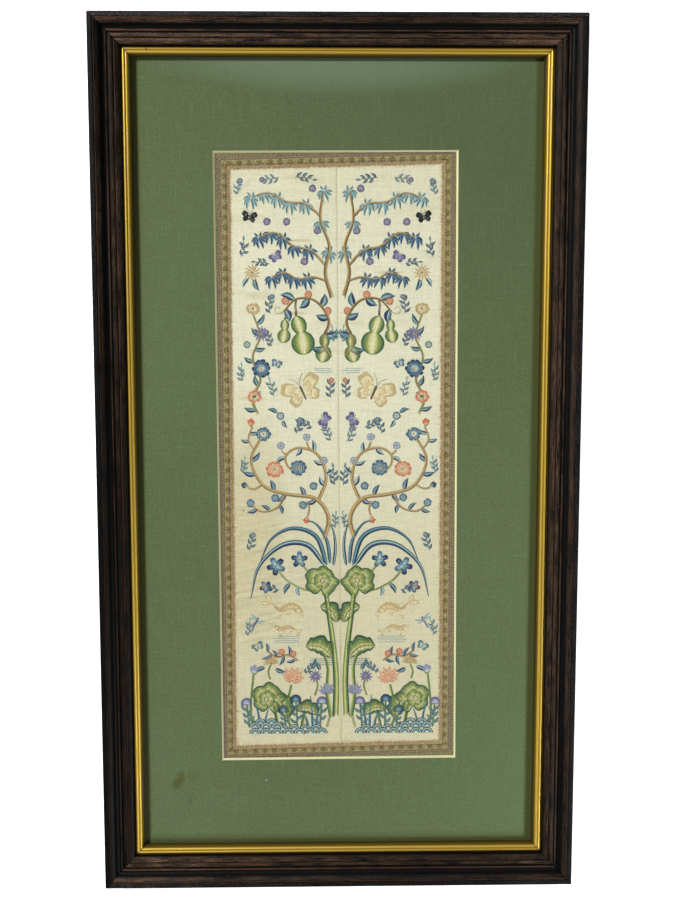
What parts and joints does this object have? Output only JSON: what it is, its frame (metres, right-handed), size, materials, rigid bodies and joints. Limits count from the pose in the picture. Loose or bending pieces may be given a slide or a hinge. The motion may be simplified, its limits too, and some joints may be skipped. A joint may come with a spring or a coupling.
{
  "type": "embroidered silk sleeve band panel in a glazed wooden picture frame",
  "caption": "Tall narrow embroidered silk sleeve band pair edged with woven ribbon, behind a window mat and glass in a dark reeded frame.",
  "frame": {"origin": "centre of the bounding box at the back of the frame, on the surface the frame lies on", "axes": "+X across the picture to the right, +Y up the picture towards its top rail, +Z out of the face"},
  "size_m": [0.443, 0.806, 0.034],
  "materials": {
    "frame_wood": "dark open-grained hardwood, waxed, brown where the grain is worn",
    "gilt_slip": "gilt, slightly worn",
    "back_board": "plain brown hardboard",
    "mount_board": "plain pale board",
    "silk": "cream silk with satin-stitch embroidery, lightly puckered and stained",
    "ribbon": "woven figured silk ribbon",
    "window_mat": "green fabric-textured face, pale bevelled core",
    "glass_pane": "clear picture glass"
  },
  "bodies": {
    "root": {"rail_top": "frame_wood", "rail_right": "frame_wood", "rail_bottom": "frame_wood", "rail_left": "frame_wood", "slip_top": "gilt_slip", "slip_right": "gilt_slip", "slip_bottom": "gilt_slip", "slip_left": "gilt_slip", "back_board": "back_board", "mount_board": "mount_board", "silk_left": "silk", "silk_right": "silk", "ribbon_bottom": "ribbon", "ribbon_right": "ribbon", "ribbon_top": "ribbon", "ribbon_left": "ribbon", "window_mat": "window_mat", "glass_pane": "glass_pane"}
  },
  "joints": []
}
